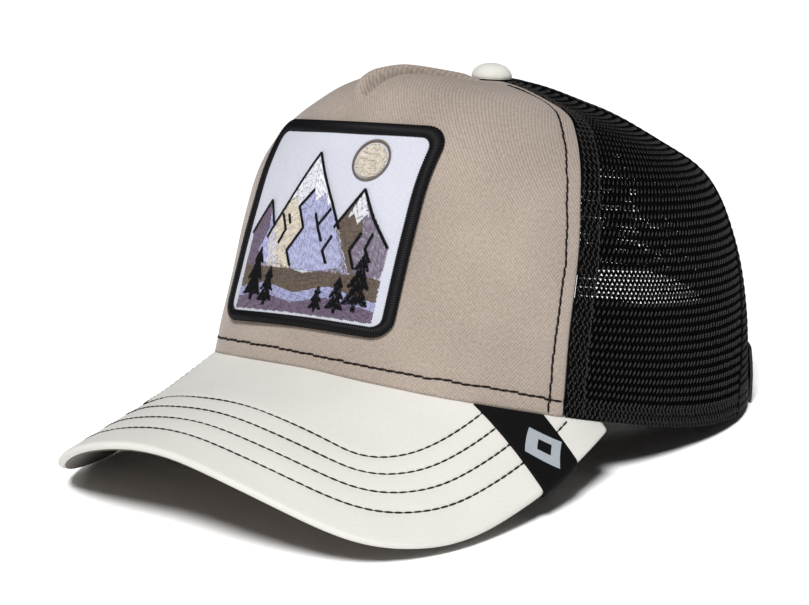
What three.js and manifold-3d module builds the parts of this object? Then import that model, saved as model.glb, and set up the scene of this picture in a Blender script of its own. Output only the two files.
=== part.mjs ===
import * as THREE from 'three';
import { mergeVertices } from 'three/addons/utils/BufferGeometryUtils.js';
import Module from 'manifold-3d';

// A five-panel trucker cap that stands on its peak's lower wing and the back of its rim.
// Millimetres, +Z up. The peak points to -Y and +X is the wearer's left.

const tableRows = (columns, rows) => rows.map((row) => {
  return Object.fromEntries(columns.map((column, i) => [column, row[i]]));
});

// The crown's outer surface, level 0 at the rim and level 1 under the button. Each level is a
// rounded oval with its reach to the front, side and rear and its height there. The seam
// angle is where the front panel ends, measured from the front.
const crownLevels = tableRows(
  ['level', 'front', 'side', 'rear', 'frontHeight', 'sideHeight', 'rearHeight', 'squareness', 'seamAngle'],
  [
    [0.00, 100.0, 83.8, 96.2, 38.6, 10.8, 4.5, 2.46, 53],
    [0.22, 93.4, 83.3, 98.0, 61.3, 41.8, 40.0, 2.32, 55],
    [0.42, 86.2, 80.0, 92.6, 83.8, 69.6, 65.0, 2.25, 58.4],
    [0.60, 79.0, 71.5, 83.0, 103.7, 91.4, 86.2, 2.19, 62],
    [0.75, 68.4, 55.5, 69.0, 120.0, 106.2, 98.0, 2.05, 69],
    [0.88, 46.0, 33.5, 44.5, 128.9, 115.5, 112.0, 2.0, 81],
    [1.00, 0, 0, 0, 123.2, 123.2, 123.2, 2.0, 90],
  ],
);
const crownMiddle = 1.3;
const topSteepness = 1.25;
const panelTip = 0.99;
const pieceGap = 0.3;

const frontThickness = 2.5;
const meshThickness = 1.2;

// The seam behind each side panel leans towards the back as it climbs, by this much at the top.
const rearSeam = { rimAngle: 117, lean: 23 };

// A raised pinch runs along the middle of the front panel's top, up to the button. The panel's
// middle sits a little towards the wearer's right.
const pinch = { share: -0.06, halfShare: 0.07 };
const pinchRidge = tableRows(['level', 'height'], [
  [0.765, 0],
  [0.83, 3.8],
  [0.87, 2.7],
  [0.92, 2.2],
  [0.955, 2.1],
  [0.975, 1.0],
  [0.99, 0],
]);

// The rear opening is half an ellipse, cut from the rim upwards.
const openingHalfAngle = 33;
const openingLevel = 0.22;

const sweatband = { endAngle: 144, topLevel: 0.3, depth: 3.1, thickness: 1.4 };

// The peak's upper face at two lines across it: its height in the middle, and how far it has
// dropped 40 and 80 mm out to each side. The wearer's right wing hangs lower by the sag.
const peakAtCrown = { line: -99, middle: 40.0, dropAt40: 7.2, dropAt80: 32.6 };
const peakAtTip = { line: -169, middle: 25.7, dropAt40: 9.1, dropAt80: 39.0 };
const rightWingSag = 2.5;

// The peak's outline, as reaches from a pivot on the middle line.
const peakPivot = -60;
const peakOutline = tableRows(['angle', 'reach'], [
  [0, 105.5],
  [18, 108.6],
  [36, 109.6],
  [45, 105.2],
  [54, 99.8],
  [63, 93.9],
  [72, 89.4],
  [88, 85.2],
  [103, 83.9],
]);
const peakRootAngle = 62;
const peakRootDepth = 4.8;
const peakEaseLength = 45;
const peakTopThickness = 1.8;
const peakClothThickness = 0.8;

// The patch is a rounded rectangle that narrows upwards. Its middle slants across the panel,
// from the wearer's right at the bottom.
const patch = {
  middle: -3.9,
  slant: 4.5,
  halfWidth: 36.9,
  narrowing: 0.08,
  height: 71,
  lowLevel: 0.118,
  highLevel: 0.713,
  corner: 7.5,
};
const patchBorder = { width: 4.5, rise: 2.0 };
const patchGroundThickness = 1.0;

// A ribbon tab is folded round the peak's left edge between two places along the outline.
const tab = { fromAngle: 76.4, toAngle: 88.2, thickness: 0.7, underLength: 22, clearance: 0.4 };

// The snap strap at the opening. Its outer half climbs over the end of the inner half.
const strap = {
  lowLevel: 0.004,
  highLevel: 0.122,
  endAngle: 133,
  bulgeAngle: 140,
  climbFrom: 145,
  climbTo: 163,
  overlapAngle: 13,
  thickness: 1.0,
  bow: 0.5,
  bulge: 3,
};
const snap = { pitchAngle: 5, engaged: 5, spare: 2, holeRadius: 2.3, pegRadius: 1.9, pegRise: 0.6 };

const button = { radius: 7.3, height: 5.6, postRadius: 1.6, postLength: 4, tilt: 4.5, seat: 0.45 };

// The whole cap leans a little so that the peak's lower wing and the back of the rim share one
// plane, with the other wing just above it.
const restTilt = -2.19;
const restMove = { x: -0.73, y: 29.66, z: -0.88 };

const radians = THREE.MathUtils.degToRad;

// A smooth curve through one column of a table, read at a place along its first column.
function readTable(table, key, column, place, endSteepness = 1) {
  const last = table.length - 1;
  const at = THREE.MathUtils.clamp(place, table[0][key], table[last][key]);
  const next = Math.max(1, table.findIndex((row) => row[key] >= at));
  const slope = (i) => {
    const before = table[Math.max(i - 1, 0)];
    const after = table[Math.min(i + 1, last)];
    const chord = (after[column] - before[column]) / (after[key] - before[key]);
    return i === last ? chord * endSteepness : chord;
  };
  const low = table[next - 1];
  const high = table[next];
  const span = high[key] - low[key];
  const s = (at - low[key]) / span;
  const rise = s * s * (3 - 2 * s);
  const leaving = slope(next - 1) * span * s * (1 - s) * (1 - s);
  const arriving = slope(next) * span * s * s * (s - 1);
  return low[column] + (high[column] - low[column]) * rise + leaving + arriving;
}

function crownValue(column, level, endSteepness) {
  return readTable(crownLevels, 'level', column, level, endSteepness);
}

function crownHeight(angle, level) {
  const front = crownValue('frontHeight', level, 0);
  const side = crownValue('sideHeight', level, 0);
  const rear = crownValue('rearHeight', level, 0);
  const facing = Math.cos(angle);
  return side + ((front - rear) / 2) * facing + ((front + rear) / 2 - side) * facing * facing;
}

function crownPoint(angle, level) {
  const facing = Math.cos(angle);
  const lengthwise = crownValue(facing >= 0 ? 'front' : 'rear', level, topSteepness);
  const sideways = crownValue('side', level, topSteepness);
  const power = crownValue('squareness', level);
  const oval = Math.abs(Math.sin(angle) / sideways) ** power + Math.abs(facing / lengthwise) ** power;
  const reach = oval ** (-1 / power);
  const height = crownHeight(angle, level);
  return new THREE.Vector3(reach * Math.sin(angle), crownMiddle - reach * facing, height);
}

function crownReach(angle, level) {
  const point = crownPoint(angle, level);
  return Math.hypot(point.x, point.y - crownMiddle);
}

// The crown's surface moved inwards by a depth. At the rim a layer keeps the rim's height.
function crownLayer(angle, level, depth) {
  const step = 0.002;
  const around = crownPoint(angle + step, level).sub(crownPoint(angle - step, level));
  const above = crownPoint(angle, Math.min(level + step, 0.999));
  const upwards = above.sub(crownPoint(angle, Math.max(level - step, 0)));
  const outwards = around.cross(upwards).normalize();
  const point = crownPoint(angle, level).addScaledVector(outwards, -depth);
  if (level === 0) {
    point.z = crownHeight(Math.atan2(point.x, crownMiddle - point.y), 0);
  }
  return point;
}

const seamAngle = (level) => radians(crownValue('seamAngle', level));
const rearSeamAngle = (level) => radians(rearSeam.rimAngle + rearSeam.lean * level);

// Half the gap between two panels, as an angle at that place.
const halfGap = (angle, level) => pieceGap / 2 / crownReach(angle, level);

// A mesh from points and faces, turned inside out where its faces point inwards.
function closedGeometry(points, faces) {
  let volume = 0;
  for (const [a, b, c] of faces) {
    volume += points[a].dot(points[b].clone().cross(points[c]));
  }
  const outward = volume > 0 ? faces : faces.map(([a, b, c]) => [a, c, b]);
  const geometry = new THREE.BufferGeometry();
  const positions = points.flatMap((point) => point.toArray());
  geometry.setAttribute('position', new THREE.Float32BufferAttribute(positions, 3));
  geometry.setIndex(outward.flat());
  geometry.computeVertexNormals();
  return geometry;
}

// A curved slab between two faces, each a function of a place across and a place up.
function slab(across, up, outerFace, innerFace) {
  const points = [outerFace, innerFace].flatMap((face) => {
    return up.flatMap((v) => across.map((u) => face(u, v)));
  });
  const columns = across.length;
  const rows = up.length;
  const end = columns - 1;
  const at = (i, j, side) => (side * rows + j) * columns + i;
  const faces = [];
  const quad = (a, b, c, d) => faces.push([a, b, c], [a, c, d]);
  for (let j = 0; j + 1 < rows; j += 1) {
    for (let i = 0; i + 1 < columns; i += 1) {
      quad(at(i, j, 0), at(i + 1, j, 0), at(i + 1, j + 1, 0), at(i, j + 1, 0));
      quad(at(i, j, 1), at(i, j + 1, 1), at(i + 1, j + 1, 1), at(i + 1, j, 1));
    }
    quad(at(0, j, 0), at(0, j + 1, 0), at(0, j + 1, 1), at(0, j, 1));
    quad(at(end, j, 0), at(end, j, 1), at(end, j + 1, 1), at(end, j + 1, 0));
  }
  for (let i = 0; i + 1 < columns; i += 1) {
    quad(at(i, 0, 0), at(i, 0, 1), at(i + 1, 0, 1), at(i + 1, 0, 0));
    quad(at(i, rows - 1, 0), at(i + 1, rows - 1, 0), at(i + 1, rows - 1, 1), at(i, rows - 1, 1));
  }
  return closedGeometry(points, faces);
}

// A closed ring from sections that all have the same number of points.
function ring(sections) {
  const points = sections.flat();
  const size = sections[0].length;
  const faces = [];
  sections.forEach((section, i) => {
    const next = (i + 1) % sections.length;
    section.forEach((point, j) => {
      const after = (j + 1) % size;
      const [a, b, c, d] = [i * size + j, next * size + j, next * size + after, i * size + after];
      faces.push([a, b, c], [a, c, d]);
    });
  });
  return closedGeometry(points, faces);
}

function evenly(from, to, steps) {
  return Array.from({ length: steps + 1 }, (item, i) => from + ((to - from) * i) / steps);
}

const wasm = await Module();
wasm.setup();

function toSolid(geometry) {
  const vertProperties = new Float32Array(geometry.attributes.position.array);
  const triVerts = new Uint32Array(geometry.index.array);
  return new wasm.Manifold(new wasm.Mesh({ numProp: 3, vertProperties, triVerts }));
}

function fromSolid(solid) {
  const mesh = solid.getMesh();
  const geometry = new THREE.BufferGeometry();
  geometry.setAttribute('position', new THREE.BufferAttribute(mesh.vertProperties, 3));
  geometry.setIndex(Array.from(mesh.triVerts));
  geometry.computeVertexNormals();
  return geometry;
}

const materials = {
  tanCloth: new THREE.MeshStandardMaterial({ color: '#9d8f83', roughness: 0.9, metalness: 0 }),
  blackMesh: new THREE.MeshStandardMaterial({ color: '#1b1b1d', roughness: 0.7, metalness: 0 }),
  offWhiteCloth: new THREE.MeshStandardMaterial({ color: '#e4e1d8', roughness: 0.85, metalness: 0 }),
  taupeCloth: new THREE.MeshStandardMaterial({ color: '#6f675e', roughness: 0.9, metalness: 0 }),
  blackCloth: new THREE.MeshStandardMaterial({ color: '#18181a', roughness: 0.85, metalness: 0 }),
  patchGround: new THREE.MeshStandardMaterial({ color: '#dcdcea', roughness: 0.7, metalness: 0 }),
  patchBorder: new THREE.MeshStandardMaterial({ color: '#141416', roughness: 0.6, metalness: 0 }),
  blackPlastic: new THREE.MeshStandardMaterial({ color: '#161617', roughness: 0.4, metalness: 0 }),
};

const cap = new THREE.Group();
cap.rotation.x = radians(restTilt);
cap.position.set(restMove.x, restMove.y, restMove.z);

function addPiece(name, geometry, material) {
  const mesh = new THREE.Mesh(geometry, material);
  mesh.name = name;
  cap.add(mesh);
  return mesh;
}

// The crown's panels, from the rim up to their tips under the button.
const panelLevels = [
  ...[0, 0.07, 0.15, 0.22, 0.3, 0.38, 0.46, 0.54, 0.62],
  ...[0.7, 0.77, 0.83, 0.88, 0.92, 0.955, 0.975, panelTip],
];

const frontHalf = [0.035, 0.07, 0.14, 0.24, 0.36, 0.5, 0.66, 0.83, 1];
const frontShares = [...frontHalf.map((share) => -share).reverse(), 0, ...frontHalf]
  .map((share) => share + pinch.share * (1 - Math.abs(share)));
const frontAngle = (share, level) => share * (seamAngle(level) - halfGap(seamAngle(level), level));

function pinchRise(share, level) {
  const beside = Math.max(0, 1 - ((share - pinch.share) / pinch.halfShare) ** 2);
  return beside * readTable(pinchRidge, 'level', 'height', level);
}

addPiece('front_panel', slab(
  frontShares,
  panelLevels,
  (share, level) => crownLayer(frontAngle(share, level), level, -pinchRise(share, level)),
  (share, level) => crownLayer(frontAngle(share, level), level, frontThickness),
), materials.tanCloth);

function sidePanel(side) {
  const angle = (share, level) => {
    const start = seamAngle(level) + halfGap(seamAngle(level), level);
    const end = rearSeamAngle(level) - halfGap(rearSeamAngle(level), level);
    return side * (start + (end - start) * share);
  };
  return slab(
    evenly(0, 1, 8),
    panelLevels,
    (share, level) => crownLayer(angle(share, level), level, 0),
    (share, level) => crownLayer(angle(share, level), level, meshThickness),
  );
}

addPiece('side_panel_left', sidePanel(1), materials.blackMesh);
addPiece('side_panel_right', sidePanel(-1), materials.blackMesh);

// A place on a rear panel: across -1 at its front seam, 0 at the foot of the opening and 1 at
// the middle of the back. Behind the foot its lower edge rises into the opening's arch.
function rearPoint(side, across, share, depth) {
  const foot = Math.PI - radians(openingHalfAngle);
  if (across <= 0) {
    const seam = rearSeamAngle(share) + halfGap(rearSeamAngle(share), share);
    return crownLayer(side * (foot + (foot - seam) * across), share, depth);
  }
  const turn = (across * Math.PI) / 2;
  const lowest = openingLevel * Math.sin(turn);
  const level = lowest + (panelTip - lowest) * (share / panelTip);
  const trim = across === 1 ? halfGap(Math.PI, level) : 0;
  return crownLayer(side * (Math.PI - radians(openingHalfAngle) * Math.cos(turn) - trim), level, depth);
}

function rearPanel(side) {
  return slab(
    [...evenly(-1, 0, 3).slice(0, -1), ...evenly(0, 1, 6)],
    panelLevels,
    (across, share) => rearPoint(side, across, share, 0),
    (across, share) => rearPoint(side, across, share, meshThickness),
  );
}

addPiece('rear_panel_left', rearPanel(1), materials.blackMesh);
addPiece('rear_panel_right', rearPanel(-1), materials.blackMesh);

const bandEnd = radians(sweatband.endAngle);
addPiece('sweatband', slab(
  evenly(-bandEnd, bandEnd, 36),
  evenly(0, sweatband.topLevel, 4),
  (angle, level) => crownLayer(angle, level, sweatband.depth),
  (angle, level) => crownLayer(angle, level, sweatband.depth + sweatband.thickness),
), materials.blackCloth);

// The height of the peak's arched upper face over a place in plan, before it meets the crown.
function peakArch(x, y) {
  const forward = (peakAtCrown.line - y) / (peakAtCrown.line - peakAtTip.line);
  const mixed = (column) => peakAtCrown[column] + (peakAtTip[column] - peakAtCrown[column]) * forward;
  const out = (x / 80) ** 2;
  const near = mixed('dropAt40') * 16;
  const far = mixed('dropAt80');
  const sag = x < 0 ? rightWingSag * out * out : 0;
  return mixed('middle') - ((near - far) / 3) * out - ((4 * far - near) / 3) * out * out - sag;
}

// The upper face, eased near the crown so that it meets the underside of the rim.
function peakHeight(x, y) {
  const angle = Math.atan2(x, crownMiddle - y);
  const rim = crownPoint(angle, 0);
  const seat = rim.z - pieceGap;
  const beyond = Math.hypot(x, y - crownMiddle) - Math.hypot(rim.x, rim.y - crownMiddle);
  if (beyond <= 0) {
    return seat;
  }
  const ease = Math.max(0, 1 - beyond / peakEaseLength) ** 2;
  return peakArch(x, y) + (seat - peakArch(rim.x, rim.y)) * ease;
}

// The peak's free edge in plan, at an angle from the middle seen from the pivot.
function peakEdge(angle) {
  const reach = readTable(peakOutline, 'angle', 'reach', Math.abs(angle));
  const turn = radians(angle);
  return [reach * Math.sin(turn), peakPivot - reach * Math.cos(turn)];
}

// The peak's surface over a place in plan, moved down by a depth at right angles to it.
function peakLayer(x, y, depth) {
  const step = 0.5;
  const alongX = (peakHeight(x + step, y) - peakHeight(x - step, y)) / (2 * step);
  const alongY = (peakHeight(x, y + step) - peakHeight(x, y - step)) / (2 * step);
  const upwards = new THREE.Vector3(-alongX, -alongY, 1).normalize();
  return new THREE.Vector3(x, y, peakHeight(x, y)).addScaledVector(upwards, -depth);
}

// A place on the peak: share -1 to 1 from its right end to its left end, out 0 under the rim
// and 1 at its free edge.
function peakPoint(share, out, depth) {
  const [edgeX, edgeY] = peakEdge(share * peakOutline[peakOutline.length - 1].angle);
  const root = crownLayer(share * radians(peakRootAngle), 0, peakRootDepth);
  return peakLayer(root.x + (edgeX - root.x) * out, root.y + (edgeY - root.y) * out, depth);
}

const peakShares = evenly(-1, 1, 36);
const peakOut = [0, 0.07, 0.2, 0.36, 0.54, 0.72, 0.88, 1];
const peakUnderDepth = peakTopThickness + pieceGap;

addPiece('peak_top', slab(
  peakShares,
  peakOut,
  (share, out) => peakPoint(share, out, 0),
  (share, out) => peakPoint(share, out, peakTopThickness),
), materials.offWhiteCloth);

addPiece('peak_underside', slab(
  peakShares,
  peakOut,
  (share, out) => peakPoint(share, out, peakUnderDepth),
  (share, out) => peakPoint(share, out, peakUnderDepth + peakClothThickness),
), materials.taupeCloth);

const peakDepth = peakUnderDepth + peakClothThickness;

// The crown's rim at the left, found by its place along Y, with a gap outside it.
function rimBeside(y) {
  let low = 0;
  let high = Math.PI / 2;
  while (high - low > 1e-5) {
    const middle = (low + high) / 2;
    if (crownLayer(middle, 0, -pieceGap * 2).y < y) {
      low = middle;
    } else {
      high = middle;
    }
  }
  return crownLayer(low, 0, -pieceGap * 2).x;
}

// The tab's ribbon leaves the rim, lies on the peak, turns round its edge and ends below.
function tabPoint(angle, path, lift) {
  const [edgeX, y] = peakEdge(angle);
  if (path <= 1) {
    const start = rimBeside(y);
    return peakLayer(start + (edgeX - start) * path, y, -lift);
  }
  if (path >= 2) {
    return peakLayer(edgeX - tab.underLength * (path - 2), y, peakDepth + lift);
  }
  const top = peakLayer(edgeX, y, 0);
  const bottom = peakLayer(edgeX, y, peakDepth);
  const upwards = top.clone().sub(bottom).normalize();
  const outwards = new THREE.Vector3(upwards.z, 0, -upwards.x).normalize();
  const turn = Math.PI * (path - 1);
  const radius = peakDepth / 2 + lift;
  return top.add(bottom).multiplyScalar(0.5)
    .addScaledVector(upwards, radius * Math.cos(turn))
    .addScaledVector(outwards, radius * Math.sin(turn));
}

const tabPath = [0, 0.25, 0.5, 0.75, 1, 1.2, 1.4, 1.6, 1.8, 2, 2.35, 2.7, 3];
addPiece('peak_tab', slab(
  evenly(tab.fromAngle, tab.toAngle, 3),
  tabPath,
  (angle, path) => tabPoint(angle, path, tab.clearance + tab.thickness),
  (angle, path) => tabPoint(angle, path, tab.clearance),
), materials.blackCloth);

// The patch lies on the front panel, in millimetres across and up from its lower edge. Its
// sides run straight in the front view.
function patchPoint(across, up, lift) {
  const share = up / patch.height;
  const level = patch.lowLevel + (patch.highLevel - patch.lowLevel) * share;
  const middle = patch.middle + patch.slant * (share - 0.5);
  const x = middle + across * (1 + patch.narrowing * (0.5 - share));
  const power = crownValue('squareness', level);
  const forward = (1 - Math.abs(x / crownValue('side', level, topSteepness)) ** power) ** (1 / power);
  const angle = Math.atan2(x, forward * crownValue('front', level, topSteepness));
  return crownLayer(angle, level, -lift);
}

// The ground fills the border's inner outline, with the same round corners.
const groundInset = patchBorder.width + pieceGap;
const groundCorner = patch.corner - groundInset;
const groundRows = [0, 0.1, 0.4, 1, 2, 3, 4, 5, 5.6, 5.9, 6].map((row) => {
  return groundInset + ((patch.height - 2 * groundInset) * row) / 6;
});

function groundPlace(share, up, lift) {
  const fromEnd = Math.min(up - groundInset, patch.height - groundInset - up);
  const intoCorner = Math.max(0, groundCorner - Math.max(0, fromEnd));
  const trim = groundCorner - Math.sqrt(Math.max(0, groundCorner ** 2 - intoCorner ** 2));
  return patchPoint(share * (patch.halfWidth - groundInset - trim), up, lift);
}

addPiece('patch_ground', slab(
  evenly(-1, 1, 10),
  groundRows,
  (share, up) => groundPlace(share, up, pieceGap + patchGroundThickness),
  (share, up) => groundPlace(share, up, pieceGap),
), materials.patchGround);

// The border follows a rounded rectangle, with a low rounded section.
const borderSection = [[0, 0], [0, 0.5], [0.2, 0.85], [0.5, 1], [0.8, 0.85], [1, 0.5], [1, 0]];

function borderSections() {
  const corners = [[1, -1, -90], [1, 1, 0], [-1, 1, 90], [-1, -1, 180]];
  const straightX = patch.halfWidth - patch.corner;
  const straightY = patch.height / 2 - patch.corner;
  const places = corners.flatMap(([sideX, sideY, firstTurn], i) => {
    const [nextX, nextY] = corners[(i + 1) % corners.length];
    const round = evenly(firstTurn, firstTurn + 90, 4).map((turn) => [sideX, sideY, turn]);
    const straight = evenly(0, 1, 8).slice(1, -1).map((share) => {
      return [sideX + (nextX - sideX) * share, sideY + (nextY - sideY) * share, firstTurn + 90];
    });
    return [...round, ...straight];
  });
  return places.map(([sideX, sideY, turn]) => borderSection.map(([inwards, rise]) => {
    const reach = patch.corner - inwards * patchBorder.width;
    const across = sideX * straightX + reach * Math.cos(radians(turn));
    const up = patch.height / 2 + sideY * straightY + reach * Math.sin(radians(turn));
    return patchPoint(across, up, pieceGap + rise * patchBorder.rise);
  }));
}

addPiece('patch_border', ring(borderSections()), materials.patchBorder);

// Each half of the strap is sewn on the outside of a rear panel and bulges past the opening.
const strapLevels = evenly(strap.lowLevel, strap.highLevel, 4);

function strapPoint(angle, level, layer, face) {
  const bulge = strap.bulge * THREE.MathUtils.smoothstep(angle, radians(strap.bulgeAngle), Math.PI);
  const height = (level - strap.lowLevel) / (strap.highLevel - strap.lowLevel);
  const bow = strap.bow * Math.sin(Math.PI * height);
  const lift = pieceGap + bow + bulge + layer * (strap.thickness + pieceGap) + face * strap.thickness;
  return crownLayer(angle, level, -lift);
}

// The two halves lie over each other at the back, the left one outside. Angles run on past
// the middle of the back to the other side.
function strapPlace(side, angle, level, layer, face) {
  const past = angle > Math.PI;
  const point = strapPoint(past ? 2 * Math.PI - angle : angle, level, layer, face);
  point.x *= past ? -side : side;
  return point;
}

const innerLayer = () => 0;
const outerLayer = (angle) => {
  return THREE.MathUtils.smoothstep(angle, radians(strap.climbFrom), radians(strap.climbTo));
};

function strapHalf(side, layer) {
  const angles = evenly(radians(strap.endAngle), Math.PI + radians(strap.overlapAngle), 20);
  return toSolid(slab(
    angles,
    strapLevels,
    (angle, level) => strapPlace(side, angle, level, layer(angle), 1),
    (angle, level) => strapPlace(side, angle, level, layer(angle), 0),
  ));
}

// A round pin between two points.
function pin(from, to, radius) {
  const geometry = new THREE.CylinderGeometry(radius, radius, from.distanceTo(to), 12);
  geometry.deleteAttribute('normal');
  geometry.deleteAttribute('uv');
  const along = to.clone().sub(from).normalize();
  geometry.applyQuaternion(new THREE.Quaternion().setFromUnitVectors(new THREE.Vector3(0, 1, 0), along));
  const middle = from.clone().add(to).multiplyScalar(0.5);
  geometry.translate(middle.x, middle.y, middle.z);
  return toSolid(mergeVertices(geometry));
}

// The inner half's pegs pass through the outer half's holes, and each half has spare ones
// towards its own side.
const strapMiddle = (strap.lowLevel + strap.highLevel) / 2;
const firstSnap = -(snap.engaged - 1) / 2 - snap.spare;
const snapTurns = evenly(firstSnap, -firstSnap - snap.spare, snap.engaged + snap.spare - 1);
let innerHalf = strapHalf(-1, innerLayer);
let outerHalf = strapHalf(1, outerLayer);
for (const turn of snapTurns) {
  const angle = Math.PI + radians(turn * snap.pitchAngle);
  const pegFoot = strapPlace(-1, angle, strapMiddle, 0, 0.5);
  const outwards = strapPlace(-1, angle, strapMiddle, 1, 1).sub(pegFoot);
  outwards.setLength(outwards.length() + snap.pegRise);
  innerHalf = innerHalf.add(pin(pegFoot, pegFoot.clone().add(outwards), snap.pegRadius));
  const holeInside = strapPlace(1, angle, strapMiddle, outerLayer(angle), -0.5);
  const holeOutside = strapPlace(1, angle, strapMiddle, outerLayer(angle), 1.5);
  outerHalf = outerHalf.subtract(pin(holeInside, holeOutside, snap.holeRadius));
}
addPiece('strap_right', fromSolid(innerHalf), materials.blackPlastic);
addPiece('strap_left', fromSolid(outerHalf), materials.blackPlastic);

// The button's flat base sits on the panel tips, its post goes down between them.
const buttonProfile = [
  [0, -button.postLength],
  [button.postRadius, -button.postLength],
  [button.postRadius, 0],
  [button.radius - 0.3, 0],
  [button.radius, 0.8],
  [button.radius * 0.94, 2.4],
  [button.radius * 0.74, 4.1],
  [button.radius * 0.42, 5.2],
  [0, button.height],
];
const topButton = addPiece('top_button', new THREE.LatheGeometry(
  buttonProfile.map(([radius, height]) => new THREE.Vector2(radius, height)),
  20,
), materials.offWhiteCloth);
topButton.rotation.x = Math.PI / 2 - radians(button.tilt);
topButton.position.set(0, crownMiddle, crownHeight(0, 1) + button.seat);

export default cap;
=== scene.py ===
import math

import bmesh
import bpy
import numpy as np
from mathutils import Matrix, Vector


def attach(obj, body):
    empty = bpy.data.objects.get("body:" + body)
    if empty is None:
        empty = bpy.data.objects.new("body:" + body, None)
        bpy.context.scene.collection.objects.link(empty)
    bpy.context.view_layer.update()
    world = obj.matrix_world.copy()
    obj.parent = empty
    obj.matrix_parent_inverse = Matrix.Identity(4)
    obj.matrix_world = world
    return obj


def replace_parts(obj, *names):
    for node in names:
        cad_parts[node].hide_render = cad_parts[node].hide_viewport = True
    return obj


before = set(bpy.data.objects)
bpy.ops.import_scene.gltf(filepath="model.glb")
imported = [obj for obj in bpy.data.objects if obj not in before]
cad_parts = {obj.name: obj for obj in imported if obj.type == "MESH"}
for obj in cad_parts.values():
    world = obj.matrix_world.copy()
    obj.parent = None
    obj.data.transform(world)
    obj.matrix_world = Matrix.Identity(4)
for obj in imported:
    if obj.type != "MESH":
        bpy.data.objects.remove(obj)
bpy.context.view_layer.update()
MM_PER_M = 1000

# The camera, in millimetres of the row frame, with its focal length in the photograph's pixels.
AZIMUTH, ELEVATION, ROLL = 40.56, 13.82, -1.91
DISTANCE, AIM = 752.9, Vector((0.0, -14.9, 52.0))
FOCAL_PIXELS, IMAGE_WIDTH, SENSOR = 2204.0, 809, 36.0


def linked(name, data):
    made = bpy.data.objects.new(name, data)
    bpy.context.scene.collection.objects.link(made)
    return made


def direction(azimuth, elevation):
    """Away from the hat, by the degrees round from the front and up from the floor."""
    turn, rise = math.radians(azimuth), math.radians(elevation)
    return Vector((math.sin(turn) * math.cos(rise), -math.cos(turn) * math.cos(rise), math.sin(rise)))


back, right = direction(AZIMUTH, ELEVATION), direction(AZIMUTH + 90, 0)
up = back.cross(right)
cosine, sine = math.cos(math.radians(ROLL)), math.sin(math.radians(ROLL))
right, up = right * cosine + up * sine, up * cosine - right * sine
lens = bpy.data.cameras.new("camera")
lens.sensor_width, lens.lens = SENSOR, FOCAL_PIXELS * SENSOR / IMAGE_WIDTH
lens.clip_start, lens.clip_end = 0.05, 50.0
camera = linked("camera", lens)
place = (AIM + back * DISTANCE) / MM_PER_M
camera.matrix_world = Matrix.Translation(place) @ Matrix((right, up, back)).transposed().to_4x4()
bpy.context.scene.camera = camera
bpy.context.scene.view_settings.view_transform = "Standard"

# The hat's surfaces, in its own millimetres before it leans onto its rest.
LEAN, MOVE = math.radians(-2.19), np.array((-0.73, 29.66, -0.88))

# The crown by level, from the rim at 0 to the button at 1: its reaches and heights at the front,
# the side and the rear, how square its outline is, and the front seam's angle in degrees.
CROWN = dict(
    level=(0.0, 0.22, 0.42, 0.60, 0.75, 0.88, 1.0),
    front=(100.0, 93.4, 86.2, 79.0, 68.4, 46.0, 0.0),
    side=(83.8, 83.3, 80.0, 71.5, 55.5, 33.5, 0.0),
    rear=(96.2, 98.0, 92.6, 83.0, 69.0, 44.5, 0.0),
    front_height=(38.6, 61.3, 83.8, 103.7, 120.0, 128.9, 123.2),
    side_height=(10.8, 41.8, 69.6, 91.4, 106.2, 115.5, 123.2),
    rear_height=(4.5, 40.0, 65.0, 86.2, 98.0, 112.0, 123.2),
    squareness=(2.46, 2.32, 2.25, 2.19, 2.05, 2.0, 2.0),
    seam_angle=(53.0, 55.0, 58.4, 62.0, 69.0, 81.0, 90.0),
)
CROWN_MIDDLE, TOP_STEEPNESS, PANEL_TIP = 1.3, 1.25, 0.99
CROWN_TOP = CROWN["front_height"][-1]
OPENING_HALF, OPENING_LEVEL = math.radians(33), 0.22

# The peak's arch at the crown and at its tip: the middle's height and the drops at 40 and 80 mm.
PEAK_CROWN = dict(line=-99, middle=40.0, at40=7.2, at80=32.6)
PEAK_TIP = dict(line=-169, middle=25.7, at40=9.1, at80=39.0)
PEAK_PIVOT, PEAK_EASE, PEAK_END = -60, 45, 103
PEAK_SEAT = 0.3
PEAK_ANGLES = (0, 18, 36, 45, 54, 63, 72, 88, 103)
PEAK_REACH = (105.5, 108.6, 109.6, 105.2, 99.8, 93.9, 89.4, 85.2, 83.9)
PEAK_THICKNESS, RIGHT_WING_SAG = 2.8, 2.5
SPREAD_DEGREES, SPREAD_REACH = 4.0, 10

# The patch on the front panel, low and high being levels of the crown.
PATCH = dict(
    middle=-3.9, slant=4.5, half=36.9, narrowing=0.08, tilt=0.04,
    height=70.0, low=0.118, high=0.702, corner=7.5,
)
GROUND_INSET, GROUND_LIFT, GROUND_THICKNESS = 2.3, 1.25, 0.9
BORDER_RADIUS, BORDER_LIFT, BORDER_TURNS = 1.95, 1.15, 330


def curve(keys, values, place, end_steepness=1.0):
    """A smooth curve through a table's column, read at an array of places."""
    keys, values = np.asarray(keys, float), np.asarray(values, float)
    slopes = np.empty_like(values)
    slopes[1:-1] = (values[2:] - values[:-2]) / (keys[2:] - keys[:-2])
    slopes[0] = (values[1] - values[0]) / (keys[1] - keys[0])
    slopes[-1] = (values[-1] - values[-2]) / (keys[-1] - keys[-2]) * end_steepness
    place = np.clip(place, keys[0], keys[-1])
    low = np.clip(np.searchsorted(keys, place, side="right") - 1, 0, len(keys) - 2)
    span = keys[low + 1] - keys[low]
    s = (place - keys[low]) / span
    rise = s * s * (3 - 2 * s)
    bend = slopes[low] * span * s * (1 - s) ** 2 + slopes[low + 1] * span * s * s * (s - 1)
    return values[low] + (values[low + 1] - values[low]) * rise + bend


def unit(vectors):
    return vectors / np.linalg.norm(vectors, axis=-1, keepdims=True)


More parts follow.
